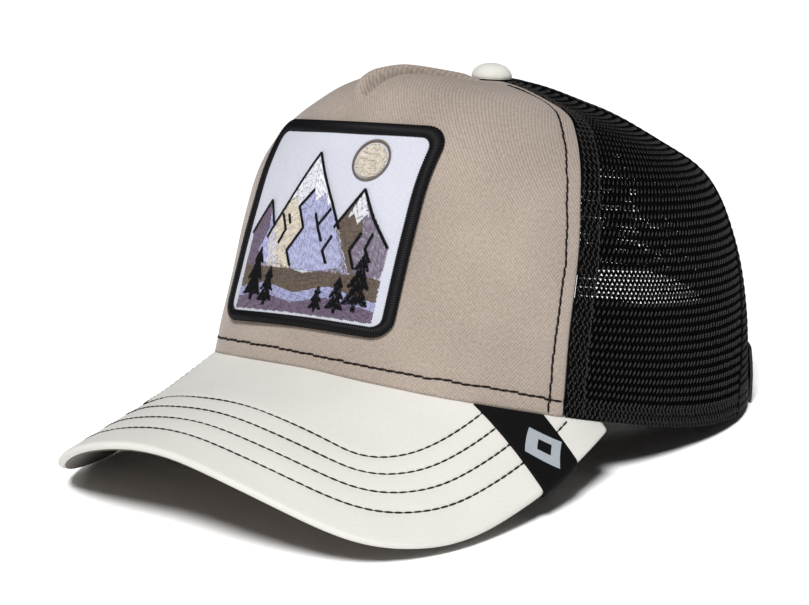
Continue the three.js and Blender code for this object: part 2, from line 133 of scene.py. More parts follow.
def lengths_along(path):
    """How far along a path each of its points lies."""
    return np.concatenate([[0], np.cumsum(np.linalg.norm(np.diff(path, axis=0), axis=-1))])


def sampled(at, along, values):
    """A table's columns read at places along it."""
    return np.stack([np.interp(at, along, column) for column in values.T], -1)


def blurred(values, window, spread):
    """A row of values averaged with its neighbours, shorter by a window at each end."""
    share = np.exp(-((np.arange(-window, window + 1) / spread) ** 2) / 2)
    return np.convolve(values, share / share.sum(), "valid")


def crown_value(column, level, end_steepness=1.0):
    return curve(CROWN["level"], CROWN[column], level, end_steepness)


def crown_height(angle, level):
    columns = ("front_height", "side_height", "rear_height")
    front, side, rear = (crown_value(column, level, 0) for column in columns)
    facing = np.cos(angle)
    return side + (front - rear) / 2 * facing + ((front + rear) / 2 - side) * facing**2


def crown_point(angle, level):
    angle, level = np.broadcast_arrays(np.asarray(angle, float), np.asarray(level, float))
    facing, beside = np.cos(angle), np.sin(angle)
    front, side, rear = (crown_value(c, level, TOP_STEEPNESS) for c in ("front", "side", "rear"))
    power = crown_value("squareness", level)
    lengthwise = np.where(facing >= 0, front, rear)
    reach = (np.abs(beside / side) ** power + np.abs(facing / lengthwise) ** power) ** (-1 / power)
    return np.stack([reach * beside, CROWN_MIDDLE - reach * facing, crown_height(angle, level)], -1)


def crown_outwards(angle, level):
    step, highest = 0.002, 0.999
    around = crown_point(angle + step, level) - crown_point(angle - step, level)
    above, below = np.minimum(level + step, highest), np.maximum(level - step, 0)
    upwards = crown_point(angle, above) - crown_point(angle, below)
    return unit(np.cross(around, upwards))


def crown_layer(angle, level, depth):
    """The crown's surface moved inwards by a depth, with the rim kept at its height."""
    angle, level, depth = np.broadcast_arrays(*(np.asarray(a, float) for a in (angle, level, depth)))
    point = crown_point(angle, level) - crown_outwards(angle, level) * depth[..., None]
    at_rim = crown_height(np.arctan2(point[..., 0], CROWN_MIDDLE - point[..., 1]), 0)
    point[..., 2] = np.where(level <= 0, at_rim, point[..., 2])
    return point


def crown_reach(angle, level):
    point = crown_point(angle, level)
    return np.hypot(point[..., 0], point[..., 1] - CROWN_MIDDLE)


def seam_angle(level):
    return np.radians(crown_value("seam_angle", level))


def beside_seam(level, offset):
    """The angle at an offset in millimetres behind the front seam."""
    seam = seam_angle(level)
    return seam + offset / crown_reach(seam, level)


def rear_seam_angle(level):
    at_rim, turn_to_top = 117, 23
    return np.radians(at_rim + turn_to_top * np.asarray(level, float))


def peak_arch(x, y):
    """A fourth-power curve across the peak, through its drops at 40 and 80 mm."""
    forward = (PEAK_CROWN["line"] - y) / (PEAK_CROWN["line"] - PEAK_TIP["line"])
    middle, near, far = (
        PEAK_CROWN[c] + (PEAK_TIP[c] - PEAK_CROWN[c]) * forward for c in ("middle", "at40", "at80")
    )
    out = (x / 80) ** 2
    sag = np.where(x < 0, RIGHT_WING_SAG * out**2, 0)
    return middle - (16 * near - far) / 3 * out - (4 * far - 16 * near) / 3 * out**2 - sag


def peak_height(x, y):
    angle = np.arctan2(x, CROWN_MIDDLE - y)
    rim = crown_point(angle, 0)
    seat = rim[..., 2] - PEAK_SEAT
    beyond = np.hypot(x, y - CROWN_MIDDLE) - np.hypot(rim[..., 0], rim[..., 1] - CROWN_MIDDLE)
    ease = np.clip(1 - beyond / PEAK_EASE, 0, 1) ** 2
    outside = peak_arch(x, y) + (seat - peak_arch(rim[..., 0], rim[..., 1])) * ease
    return np.where(beyond <= 0, seat, outside)


def peak_outwards(x, y):
    step = 0.5
    along_x = (peak_height(x + step, y) - peak_height(x - step, y)) / (2 * step)
    along_y = (peak_height(x, y + step) - peak_height(x, y - step)) / (2 * step)
    return unit(np.stack([-along_x, -along_y, np.ones_like(along_x)], -1))


def peak_layer(x, y, depth):
    x, y, depth = np.broadcast_arrays(*(np.asarray(a, float) for a in (x, y, depth)))
    return np.stack([x, y, peak_height(x, y)], -1) - peak_outwards(x, y) * depth[..., None]


def smooth_reach():
    """The peak's outline read at every degree and softened over a few of them."""
    angles = np.arange(-125.0, 126.0)
    both_ways = np.array([-a for a in PEAK_ANGLES[:0:-1]] + list(PEAK_ANGLES), float)
    reach = curve(both_ways, PEAK_REACH[:0:-1] + PEAK_REACH, angles)
    return angles[SPREAD_REACH:-SPREAD_REACH], blurred(reach, SPREAD_REACH, SPREAD_DEGREES)


SMOOTH_REACH = smooth_reach()


def peak_edge(angle, inset=0.0):
    """The peak's free edge in plan, or a line a distance inside it along the surface."""
    def outline(a):
        reach = np.interp(a, *SMOOTH_REACH)
        turn = np.radians(a)
        return np.stack([reach * np.sin(turn), PEAK_PIVOT - reach * np.cos(turn)], -1)

    edge = outline(angle)
    along = unit(outline(angle + 1.0) - outline(angle - 1.0))
    inwards = np.stack([-along[..., 1], along[..., 0]], -1)
    ahead = edge + inwards
    climb = peak_height(ahead[..., 0], ahead[..., 1]) - peak_height(edge[..., 0], edge[..., 1])
    return edge + inwards * (inset / np.sqrt(1 + climb**2))[..., None]


def leaned(x, y, z, turn):
    cosine, sine = math.cos(turn), math.sin(turn)
    return np.stack([x, y * cosine - z * sine, y * sine + z * cosine], -1)


def to_row(points):
    """From the hat's millimetres to metres of the row frame."""
    return (leaned(*np.moveaxis(np.asarray(points, float), -1, 0), LEAN) + MOVE) / MM_PER_M


def ease(value, low, high):
    s = np.clip((value - low) / (high - low), 0, 1)
    return s * s * (3 - 2 * s)


def ridge(distance, width):
    """A soft ridge: 1 in its middle, falling away over a width."""
    return np.exp(-((distance / width) ** 2))


def ripple(x, y, seed, size):
    """Soft unevenness from a few crossing waves, about -1 to 1."""
    dice = np.random.default_rng(seed)
    waves, full_turn = 5, 6.28
    turns, stretches = dice.uniform(0, np.pi, waves), dice.uniform(0.7, 1.6, waves)
    shifts = dice.uniform(0, full_turn, waves)
    total = np.zeros(np.broadcast(x, y).shape)
    for turn, stretch, shift in zip(turns, stretches, shifts):
        along = x * np.cos(turn) + y * np.sin(turn)
        total = total + np.sin(along * full_turn / (size * stretch) + shift)
    return total / 3


# Making pieces.


def new_piece(name, mesh, finish):
    piece = linked(name, mesh)
    mesh.materials.clear()
    mesh.materials.append(finish)
    mesh.polygons.foreach_set("use_smooth", np.ones(len(mesh.polygons), bool))
    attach(piece, "root")
    return piece


def grid_mesh(name, columns, rows, half):
    grid = bmesh.new()
    bmesh.ops.create_grid(grid, x_segments=columns, y_segments=rows, size=half)
    mesh = bpy.data.meshes.new(name)
    grid.to_mesh(mesh)
    grid.free()
    return mesh


def mapped_mesh(name, columns, rows, place, flat=None, weld=0.0):
    """A grid laid onto a surface: place(u, v) gives its points, flat(u, v) its cloth plan in mm."""
    mesh = grid_mesh(name, columns, rows, 0.5)
    spots = np.zeros(len(mesh.vertices) * 3)
    mesh.vertices.foreach_get("co", spots)
    u, v = (spots.reshape(-1, 3)[:, :2] + 0.5).T.copy()
    plan = np.stack(flat(u, v), -1) if flat else np.stack([u, v], -1) * 100
    corners = np.zeros(len(mesh.loops), int)
    mesh.loops.foreach_get("vertex_index", corners)
    mesh.uv_layers.new(name="cloth").data.foreach_set("uv", plan[corners].ravel())
    mesh.vertices.foreach_set("co", to_row(place(u, v)).ravel())
    if weld:
        joined = bmesh.new()
        joined.from_mesh(mesh)
        bmesh.ops.remove_doubles(joined, verts=joined.verts[:], dist=weld / MM_PER_M)
        open_edges = [e for e in joined.edges if e.is_boundary]
        if open_edges:
            bmesh.ops.holes_fill(joined, edges=open_edges)
        bmesh.ops.recalc_face_normals(joined, faces=joined.faces[:])
        joined.to_mesh(mesh)
        joined.free()
    mesh.update()
    return mesh


def sheet(name, shape, facing, finish, thickness, offset=-1.0, even=True):
    """Cloth whose faces, taken together, look to a side, thickened inwards unless told otherwise."""
    mesh = mapped_mesh(name, *shape)
    outwards = sum((face.normal * face.area for face in mesh.polygons), Vector())
    if outwards.dot(Vector(facing)) < 0:
        mesh.flip_normals()
    piece = new_piece(name, mesh, finish)
    solid = piece.modifiers.new("wall", "SOLIDIFY")
    solid.thickness, solid.offset, solid.use_even_offset = thickness / MM_PER_M, offset, even
    return piece


def template(kind, **settings):
    """The points and faces of one small shape, for laying many copies of it."""
    shape = bmesh.new()
    getattr(bmesh.ops, kind)(shape, **settings)
    shape.verts.ensure_lookup_table()
    points = np.array([v.co[:] for v in shape.verts])
    faces = [[v.index for v in f.verts] for f in shape.faces]
    shape.free()
    return points, faces


def laid_copies(name, shape, origins, across, along, lifts, finish, slot):
    """One mesh of many copies of a shape. Its x, y and z go along the three given vectors."""
    points, faces = shape
    spots = origins[:, None, :] + sum(
        part[None, :, None] * axis[:, None, :] for part, axis in zip(points.T, (across, along, lifts))
    )
    first_points = (np.arange(len(origins)) * len(points))[:, None, None]
    every = []
    for size in sorted({len(face) for face in faces}):
        some = np.array([face for face in faces if len(face) == size])
        every += (some[None] + first_points).reshape(-1, size).tolist()
    mesh = bpy.data.meshes.new(name)
    mesh.from_pydata(to_row(spots.reshape(-1, 3)).tolist(), [], every)
    mesh.update()
    return new_piece(name, mesh, finish)


THREAD, FINE_THREAD, KNOT = (
    template("create_uvsphere", u_segments=around, v_segments=along, radius=1.0)
    for around, along in ((6, 5), (5, 4), (6, 4))
)
LINK = template("create_cone", cap_ends=True, segments=3, radius1=1.0, radius2=1.0, depth=2.0)


def threads(name, starts, ends, normals, radius, finish, slot, shape=THREAD, flatness=0.8, overlong=1.0):
    """Short threads from starts to ends, lying on a surface with the given normals."""
    run = ends - starts
    length = np.linalg.norm(run, axis=-1, keepdims=True)
    along = run / length
    across = unit(np.cross(along, normals))
    lifts = np.cross(across, along)
    radius = np.broadcast_to(radius, length.shape)
    half_run = along * length / 2 * overlong
    middles, rises = (starts + ends) / 2, lifts * radius * flatness
    return laid_copies(name, shape, middles, across * radius, rises, half_run, finish, slot)


def stitch_ends(path, normals, length, gap):
    """Cuts a path into stitches and gives their starts, ends and normals."""
    along = lengths_along(path)
    pitch = length + gap
    count = int(along[-1] // pitch)
    first = (along[-1] - count * pitch + gap) / 2 + np.arange(count) * pitch
    starts, ends = sampled(first, along, path), sampled(first + length, along, path)
    return starts, ends, sampled(first + length / 2, along, normals)


# Shader maths.


def operator(operation, swapped=False):
    return lambda wire, other: wire.math(operation, other, swapped=swapped)


class Wire:
    """A socket that adds Math nodes when Python works with it."""

    def __init__(self, finish, socket):
        self.finish, self.socket = finish, socket

    def math(self, operation, *others, swapped=False):
        """A Math node on this wire and others, which come first when swapped."""
        values = (*others, self) if swapped else (self, *others)
        return self.finish.node("ShaderNodeMath", {"operation": operation}, dict(enumerate(values)))

    __add__ = __radd__ = operator("ADD")
    __mul__ = __rmul__ = operator("MULTIPLY")
    __sub__, __rsub__ = operator("SUBTRACT"), operator("SUBTRACT", swapped=True)
    __truediv__, __rtruediv__ = operator("DIVIDE"), operator("DIVIDE", swapped=True)

    def sine(self):
        return self.math("SINE")

    def size(self):
        return self.math("ABSOLUTE")


class Finish:
    """One material: nodes come from node(), the surface's values from surface()."""

    def __init__(self, name):
        self.material = bpy.data.materials.new(name)
        self.material.use_nodes = True
        self.tree = self.material.node_tree
        self.shader = self.tree.nodes["Principled BSDF"]

    def node(self, kind, settings, values, output=0):
        made = self.tree.nodes.new(kind)
        for key, value in settings.items():
            setattr(made, key, value)
        for key, value in values.items():
            self.connect(made.inputs[key], value)
        return Wire(self, made.outputs[output])

    def connect(self, socket, value):
        if isinstance(value, Wire):
            self.tree.links.new(value.socket, socket)
        elif socket.type == "RGBA" and len(value) == 3:
            socket.default_value = (*value, 1)
        else:
            socket.default_value = value

    def surface(self, **values):
        for key, value in values.items():
            self.connect(self.shader.inputs[key.replace("_", " ")], value)
        return self.material

    def cloth(self):
        """The piece's cloth plan in millimetres: the whole vector and its two parts."""
        plan = self.node("ShaderNodeUVMap", {"uv_map": "cloth"}, {})
        across, up = (self.node("ShaderNodeSeparateXYZ", {}, {0: plan}, i) for i in (0, 1))
        return plan, across, up

    def place(self):
        return self.node("ShaderNodeTexCoord", {}, {}, "Object")

    def noise(self, vector, scale, detail=2.0):
        return self.node("ShaderNodeTexNoise", {}, {"Vector": vector, "Scale": scale, "Detail": detail})

    def mix(self, share, first, second):
        """Two colours mixed. The node's colours are its inputs 6 and 7 and its output 2."""
        return self.node("ShaderNodeMix", {"data_type": "RGBA"}, {0: share, 6: first, 7: second}, 2)

    def bump(self, height, distance, strength):
        """A relief, its distance in millimetres."""
        values = {"Height": height, "Distance": distance / MM_PER_M, "Strength": strength}
        return self.node("ShaderNodeBump", {}, values)


def colour(red, green, blue):
    """A picture colour, 0 to 255, as light, by the sRGB curve."""
    shares = [value / 255 for value in (red, green, blue)]
    return tuple(((s + 0.055) / 1.055) ** 2.4 if s > 0.04 else s / 12.92 for s in shares)


FULL_TURN = 6.283
DIAGONAL_SHARE, CROSSING_SHARE, YARN_SHARE = 0.17, 0.07, 0.76


def woven(name, base, dark, period, relief, sheen=0.2):
    """Twill, its fine diagonals a period apart in millimetres, with uneven yarns."""
    finish = Finish(name)
    plan, across, up = finish.cloth()
    turn = FULL_TURN / period
    diagonal = ((across + up) * turn).sine()
    crossing = ((across - up * 0.8) * (turn * 0.9)).sine()
    yarn = finish.noise(plan, 1.1, 3.0)
    cloud = finish.noise(plan, 0.035)
    weave = diagonal * DIAGONAL_SHARE + crossing * CROSSING_SHARE + yarn * YARN_SHARE
    shade = weave * 0.6 + cloud * 0.3 + 0.12
    return finish.surface(
        Base_Color=finish.mix(shade.math("MINIMUM", 1.0), dark, base),
        Roughness=yarn * 0.15 + 0.77,
        Sheen_Weight=sheen,
        Sheen_Roughness=0.6,
        Specular_IOR_Level=0.25,
        Normal=finish.bump(weave, relief, 0.8),
    )


def threaded(name, base, roughness, specular=0.5, sheen=0.0, variation=0.25):
    """Thread with light differences from strand to strand."""
    finish = Finish(name)
    patchy = finish.noise(finish.place(), 900.0)
    dark = tuple(c * (1 - variation) for c in base)
    bright = tuple(min(1.0, c * (1 + variation)) for c in base)
    return finish.surface(
        Base_Color=finish.mix(patchy, dark, bright),
        Roughness=patchy * 0.2 + (roughness - 0.1),
        Specular_IOR_Level=specular,
        Sheen_Weight=sheen,
        Sheen_Roughness=0.4,
    )


TAN = woven("tan_twill", colour(207, 191, 178), colour(94, 81, 71), 1.0, 0.18)
OFF_WHITE = woven("off_white_twill", colour(237, 236, 230), colour(208, 205, 197), 0.8, 0.1)
# The lining's taupe is its own colour set darker than it shows in light: part of it is painted shade under
# the peak.
SHADED_TAUPE = woven("taupe_cotton_with_painted_shade", colour(108, 98, 88), colour(76, 68, 61), 0.7, 0.06)
BAND = woven("black_band", colour(30, 29, 30), colour(14, 14, 15), 0.9, 0.1, sheen=0.0)
GROUND = woven("patch_ground_twill", colour(216, 218, 227), colour(180, 182, 196), 0.9, 0.14)

# The net and the sewing threads are dull.
NET = threaded("black_net_yarn", colour(41, 40, 39), 0.5, 0.2)
# The links' yarn: the knots' black yarn painted much darker, as painted shade between the knots. The seam
# and rim welts use it too.
NET_PAINTED_SHADE = threaded("black_net_painted_shade", colour(8, 8, 9), 0.75, 0.03)
BLACK_THREAD = threaded("black_thread", colour(13, 13, 16), 0.5, 0.15)
DARK_STITCH = threaded("dark_stitch_thread", colour(28, 23, 23), 0.65, 0.1)
PEAK_STITCH = threaded("brown_stitch_thread", colour(44, 36, 33), 0.65, 0.1)

# The patch's threads are glossy.
LAVENDER = threaded("lavender_thread", colour(166, 168, 204), 0.35, sheen=0.1, variation=0.45)
MAUVE = threaded("mauve_thread", colour(112, 96, 118), 0.35, sheen=0.1, variation=0.5)
BROWN = threaded("brown_thread", colour(104, 90, 78), 0.38, sheen=0.1, variation=0.5)
CREAM = threaded("cream_thread", colour(218, 208, 192), 0.35, sheen=0.1, variation=0.35)
WHITE = threaded("white_thread", colour(226, 226, 236), 0.35, sheen=0.1)

# The tab's ribbon and the diamond woven into it, in millimetres of the ribbon's plan.
RIB_PERIOD = 0.55
DIAMOND = dict(across=9.8, along=12.6, half_across=7.2, half_along=6.6, hollow=0.4)


def ribbon_with_diamond():
    """Fine ribbed ribbon with a plain silver diamond that has a dark middle."""
    finish = Finish("black_ribbon")
    plan, across, along = finish.cloth()
    ribs = (along * (FULL_TURN / RIB_PERIOD)).sine()
    yarn = finish.noise(plan, 1.6, 3.0)
    reach = (across - DIAMOND["across"]).size() / DIAMOND["half_across"]
    reach = reach + (along - DIAMOND["along"]).size() / DIAMOND["half_along"]
    motif = reach.math("LESS_THAN", 1.0) - reach.math("LESS_THAN", DIAMOND["hollow"])
    ground = finish.mix(yarn, colour(4, 4, 5), colour(20, 20, 22))
    silver = finish.mix(yarn, colour(148, 154, 160), colour(178, 184, 190))
    return finish.surface(
        Base_Color=finish.mix(motif, ground, silver),
        Roughness=yarn * 0.2 + 0.7,
        Specular_IOR_Level=0.1,
        Normal=finish.bump(ribs * 0.4 + yarn, 0.06, 0.7),
    )


RIBBON = ribbon_with_diamond()


def moulded(name, base):
    finish = Finish(name)
    grain = finish.noise(finish.place(), 2500.0)
    return finish.surface(
        Base_Color=finish.mix(grain, base, tuple(c * 1.6 for c in base)),
        Roughness=grain * 0.2 + 0.32,
        Normal=finish.bump(grain, 0.02, 0.4),
    )


PLASTIC = moulded("black_moulded_plastic", colour(20, 20, 21))

# The front panel, with its pinch, its dent and soft unevenness. A share runs from -1 at the
# right seam to 1 at the left one.
HEM_SHARE, HEM_HEIGHT = (-1.0, -0.5, 0.2, 0.62, 0.85, 1.0), (5.2, 4.9, 4.4, 5.3, 5.3, 4.5)
INSET_LEVEL, SEAM_INSET = (0.0, 0.35, 0.6, 0.8, 1.0), (5.9, 5.0, 5.8, 6.4, 6.4)
PINCH_SHARE, PINCH_HALF = -0.06, 2.2
PINCH_LEVEL = (0.77, 0.795, 0.83, 0.87, 0.92, 0.955, 0.975, 0.988)
PINCH_HEIGHT = (0.0, 3.3, 3.9, 3.0, 2.8, 2.7, 2.0, 0.0)
CREASE_DEPTH, CREASE_PLACE, CREASE_WIDTH = 1.8, 2.7, 0.8
DENT_DEPTH, DENT_WIDTH, DENT_LEVEL, DENT_SPAN = 1.3, 7, 0.735, 0.035
PANEL_RISE, EDGE_DROP, EDGE_ROLL = 105, 0.9, 1.4
GROOVE_DEPTH, GROOVE_WIDTH = 0.3, 0.9
PANEL_SOFTNESS, PANEL_THICKNESS = 0.45, 2.4
FORWARDS, DOWNWARDS, UP_AND_LEFT = (0, -1, 0), (0, 0, -1), (0.3, 0, 1)


def hem_level(share):
    """The level of the stitched line a little above the rim."""
    near = 0.05
    angle = share * seam_angle(near)
    climb = (crown_height(angle, near) - crown_height(angle, 0.0)) / near
    return curve(HEM_SHARE, HEM_HEIGHT, share) / climb


def front_share(u):
    """The panel's columns, set closer where the pinch is."""
    return np.interp(u, (0, 0.39, 0.56, 1), (-1, -0.13, 0.01, 1))


def front_face(u, v):
    share, level = front_share(u), v * PANEL_TIP
    reach = crown_reach(seam_angle(level) * share, level)
    angle = share * beside_seam(level, -0.1)
    beside = (share - PINCH_SHARE) * seam_angle(level) * reach
    round_top = np.clip(1 - (beside / PINCH_HALF) ** 2, 0, 1) ** 0.7
    pinch = round_top * curve(PINCH_LEVEL, PINCH_HEIGHT, level)
    crease = CREASE_DEPTH * ridge(beside - CREASE_PLACE, CREASE_WIDTH)
    crease *= ease(level, 0.78, 0.80) * (1 - ease(level, 0.88, 0.97))
    dent = DENT_DEPTH * ridge(beside, DENT_WIDTH) * ridge(level - DENT_LEVEL, DENT_SPAN)
    seam = (1 - np.abs(share)) * seam_angle(level) * reach
    edge = EDGE_DROP * np.clip(1 - seam / EDGE_ROLL, 0, 1) ** 2
    stitched = GROOVE_DEPTH * ridge(seam - curve(INSET_LEVEL, SEAM_INSET, level), GROOVE_WIDTH)
    stitched *= 1 - ease(level, 0.93, 0.97)
    hem = GROOVE_DEPTH * ridge((level - hem_level(share)) * PANEL_RISE, GROOVE_WIDTH)
    up = level * PANEL_RISE
    soft = PANEL_SOFTNESS * ripple(beside, up, 3, 42) * ease(up, 3, 18) * ease(seam, 2, 14)
    point = crown_layer(angle, level, dent + crease + edge + stitched + hem + soft - pinch)
    point[..., 2] -= PEAK_SEAT * (v <= 0)
    return point


def front_plan(u, v):
    share, level = front_share(u), v * PANEL_TIP
    angle = share * seam_angle(level)
    return angle * crown_reach(angle, level), level * PANEL_RISE


shape = (190, 120, front_face, front_plan)
front = sheet("front_cloth", shape, FORWARDS, TAN, PANEL_THICKNESS)
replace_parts(front, "front_panel")

# Stitch lines on the front panel: one along its lower edge and one beside each seam.
STITCH_SINK, STITCH_WANDER, STITCH_SKEW, STITCH_OVERLAP = 0.15, 0.12, 0.14, 1.22
SIDES = ((1, "left"), (-1, "right"))


def crown_stitches(name, angle, level, depth, finish, slot, length=3.0, gap=0.1, radius=0.42):
    """Stitches along a line on the crown, each one askew and a little off the line."""
    path = crown_layer(angle, level, depth)
    starts, ends, normals = stitch_ends(path, crown_outwards(angle, level), length, gap)
    aside = np.cross(ends - starts, normals) / length
    sway = np.random.default_rng(len(starts)).normal(0, STITCH_WANDER, (len(starts), 1))
    starts, ends = starts + aside * (sway + STITCH_SKEW), ends + aside * (sway - STITCH_SKEW)
    return threads(name, starts, ends, normals, radius, finish, slot, overlong=STITCH_OVERLAP)


share = np.linspace(-0.995, 0.995, 400)
level = hem_level(share)
angle = share * seam_angle(level)
crown_stitches("front_hem_stitches", angle, level, STITCH_SINK, DARK_STITCH, "tan_cloth")
level = np.linspace(0.001, 0.955, 400)
angle = beside_seam(level, -curve(INSET_LEVEL, SEAM_INSET, level))
for side, word in SIDES:
    name = f"front_seam_stitches_{word}"
    crown_stitches(name, side * angle, level, STITCH_SINK, DARK_STITCH, "tan_cloth")

# The net of the side and rear panels: knots in rows, joined by thin links.
COLUMN, ROW = 2.0, 2.98
FIRST_ROW, NET_MARGIN, NET_UNEVENNESS = 0.35, 0.2, 0.07
KNOT_HALF, KNOT_LIFT = (0.3, 1.25, 0.34), 0.18
LINK_START, LINK_SINK, LINK_RADIUS, LINK_FLATNESS = 0.75, 0.1, 0.62, 0.55
FOLD_SHIFT, FOLD_LEAN, FOLD_DEPTH = 0.5, -0.45, 0.25
FOLD_BAND, FOLD_LEVEL, FOLD_BEYOND, FOLD_ABOVE = 7.0, 0.055, 0.06, 0.06


def opening_edge(angle):
    """The level of the arch over the rear opening, 0 beside it."""
    inside = np.minimum(1, (np.pi - np.abs(angle)) / OPENING_HALF)
    arch = OPENING_LEVEL * np.sqrt(np.maximum(0, 1 - inside**2))
    return np.where(np.abs(angle) > np.pi - OPENING_HALF, arch, 0)


def lay_net(name, side, start, end, wanted, shift=0.0, depth=0.5, leaning=0.5):
    """Knots in rows where they are wanted, linked to their neighbours. Returns the knots' piece."""
    spots = {}
    middle = (start(0.3) + end(0.3)) / 2
    levels = np.linspace(0, PANEL_TIP, 400)
    climbed = lengths_along(crown_point(middle, levels))
    for row in range(int(climbed[-1] / ROW)):
        level = float(np.interp((row + FIRST_ROW + shift) * ROW, climbed, levels))
        angles = np.linspace(start(level), end(level), 160)
        run = lengths_along(crown_point(angles, level))
        centre = np.interp(middle, angles, run)
        first = math.ceil((NET_MARGIN - centre) / COLUMN - shift)
        last = math.floor((run[-1] - NET_MARGIN - centre) / COLUMN - shift)
        for column in range(first, last + 1):
            angle = float(np.interp(centre + (column + shift) * COLUMN, run, angles))
            if wanted(angle, level):
                spots[row, column] = (angle, level)

    place = {spot: i for i, spot in enumerate(spots)}
    angle, level = np.array(list(spots.values())).T
    outwards = crown_outwards(angle, level)
    around = unit(crown_point(angle + 0.01, level) - crown_point(angle, level))
    upwards = np.cross(outwards, around)
    jitter = np.random.default_rng(len(spots)).normal(0, NET_UNEVENNESS, (len(spots), 2))
    centres = crown_point(angle, level) - outwards * depth
    centres = centres + around * jitter[:, :1] + upwards * jitter[:, 1:]
    lean = unit(upwards + around * leaning)
    mirror = np.array([side, 1, 1])
    axes = (np.cross(lean, outwards), lean, outwards)
    halves = [axis * half * mirror for axis, half in zip(axes, KNOT_HALF)]
    middles = (centres + outwards * KNOT_LIFT) * mirror
    knots = laid_copies(f"{name}_knots", KNOT, middles, *halves, NET, "black_mesh")

    tops = centres + lean * LINK_START - outwards * LINK_SINK
    feet = centres - lean * LINK_START - outwards * LINK_SINK
    neighbours = ((1, 0, tops, feet), (1, 1, tops, feet), (0, 1, centres, centres))
    starts, ends, normals = [], [], []
    for (row, column), i in place.items():
        for up, along, source, sink in neighbours:
            target = place.get((row + up, column + along))
            if target is not None:
                starts.append(source[i])
                ends.append(sink[target])
                normals.append(outwards[i])
    starts, ends, normals = (np.array(values) * mirror for values in (starts, ends, normals))
    # The links are laid in the net yarn's painted-shade copy.
    threads(
        f"{name}_links", starts, ends, normals, LINK_RADIUS, NET_PAINTED_SHADE, "black_mesh",
        shape=LINK, flatness=LINK_FLATNESS, overlong=1.08,
    )
    return knots


# Each panel's two edges, and where its net is kept.
PANELS = (
    ("side", seam_angle, rear_seam_angle, lambda angle, level: True),
    (
        "rear", rear_seam_angle, lambda level: math.pi,
        lambda angle, level: level > opening_edge(angle) + 0.004,
    ),
)


def doubled(panel, inside):
    """Where a second layer lies: the hem, the band behind the front seam, the arch's edge."""
    def wanted(angle, level):
        if panel == "side":
            front_edge = float(seam_angle(level))
            banded = abs(angle - front_edge) * float(crown_reach(angle, level)) < FOLD_BAND
        else:
            near_arch = level < opening_edge(angle) + FOLD_ABOVE
            banded = angle > math.pi - OPENING_HALF - FOLD_BEYOND and near_arch
        return inside(angle, level) and (level < FOLD_LEVEL or banded)

    return wanted


for side, word in SIDES:
    for panel, start, end, inside in PANELS:
        knots = lay_net(f"{panel}_net_{word}", side, start, end, inside)
        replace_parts(knots, f"{panel}_panel_{word}")
        fold = (f"{panel}_net_fold_{word}", side, start, end, doubled(panel, inside))
        lay_net(*fold, FOLD_SHIFT, FOLD_DEPTH, FOLD_LEAN)


def tube(name, path, radius, finish, lifts, flatness=1.0):
    """A closed cord along a path, round or flattened, with rounded ends."""
    sides, rounded_steps = 8, 4
    along = unit(np.gradient(path, axis=0))
    across = unit(np.cross(along, lifts))
    lifts = np.cross(across, along)
    count = len(path)

    def place(u, v):
        middle, wide, high = (
            sampled(u * (count - 1), np.arange(count), values) for values in (path, across, lifts)
        )
        past = np.clip(np.abs(u * 2 - 1) - (1 - rounded_steps / count), 0, 1) * count / rounded_steps
        end = np.sqrt(np.clip(1 - past**2, 0, 1))
        turn = v * 2 * np.pi
        ring = wide * np.cos(turn)[:, None] + high * (np.sin(turn) * flatness)[:, None]
        return middle + ring * (radius * end)[:, None]

    return new_piece(name, mapped_mesh(name, count - 1, sides, place, weld=0.002), finish)


# Welts: the folded seams between the net panels, the rim's hem and the opening's edge.
SEAM_TOP, STITCHES_TOP = 0.985, 108
NET_STITCH_INSET = 6.6
RIM_START = math.radians(53.5)


# Welts default to the net yarn's painted-shade copy.
def welt(name, angle, level, depth, radius, finish=NET_PAINTED_SHADE, flatness=1.0, side=1, facing=None):
    mirror = np.array([side, 1, 1])
    lifts = crown_outwards(angle, level if facing is None else facing) * mirror
    tube(name, crown_layer(angle, level, depth) * mirror, radius, finish, lifts, flatness)


level = np.linspace(0.0, SEAM_TOP, 120)
lower = level[:STITCHES_TOP]
rim = np.linspace(RIM_START, np.pi - OPENING_HALF, 160)
for side, word in SIDES:
    welt(f"rear_seam_welt_{word}", rear_seam_angle(level), level, 0.1, 0.7, flatness=0.6, side=side)
    welt(f"front_seam_welt_{word}", beside_seam(level, 0.5), level, 0.6, 0.6, flatness=0.7, side=side)
    angle = side * beside_seam(lower, NET_STITCH_INSET)
    crown_stitches(f"net_seam_stitches_{word}", angle, lower, -0.1, NET, "black_mesh", 1.9, 0.5, 0.3)
    welt(f"rim_welt_{word}", rim, np.full(160, 0.006), 0.8, 0.7, side=side, facing=np.zeros(160))
angle = np.linspace(np.pi - OPENING_HALF, np.pi + OPENING_HALF, 240)
arch = opening_edge(np.where(angle > np.pi, 2 * np.pi - angle, angle))
welt("opening_welt", angle, arch + 0.002, 0.7, 0.9, NET, facing=arch)
level = np.linspace(OPENING_LEVEL, SEAM_TOP, 100)
welt("back_seam_welt", np.full(100, np.pi), level, 0.1, 0.75, NET, flatness=0.6)

# The sweatband inside the rim.
BAND_END, BAND_LEVEL, BAND_DEPTH, BAND_THICKNESS = math.radians(144), 0.3, 3.1, 1.3


def band_face(u, v):
    angle, level = (2 * u - 1) * BAND_END, v * BAND_LEVEL
    roll = 0.5 * np.clip(1 - v / 0.06, 0, 1) ** 2 + 0.5 * np.clip(1 - (1 - v) / 0.05, 0, 1) ** 2
    wave = 0.15 * ripple(angle * 90, v * 30, 8, 26)
    return crown_layer(angle, level, BAND_DEPTH + roll + wave * ease(v, 0.0, 0.2))


shape = (260, 16, band_face, lambda u, v: ((u - 0.5) * 480, v * 33))
band = sheet("sweatband_cloth", shape, FORWARDS, BAND, BAND_THICKNESS)
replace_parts(band, "sweatband")

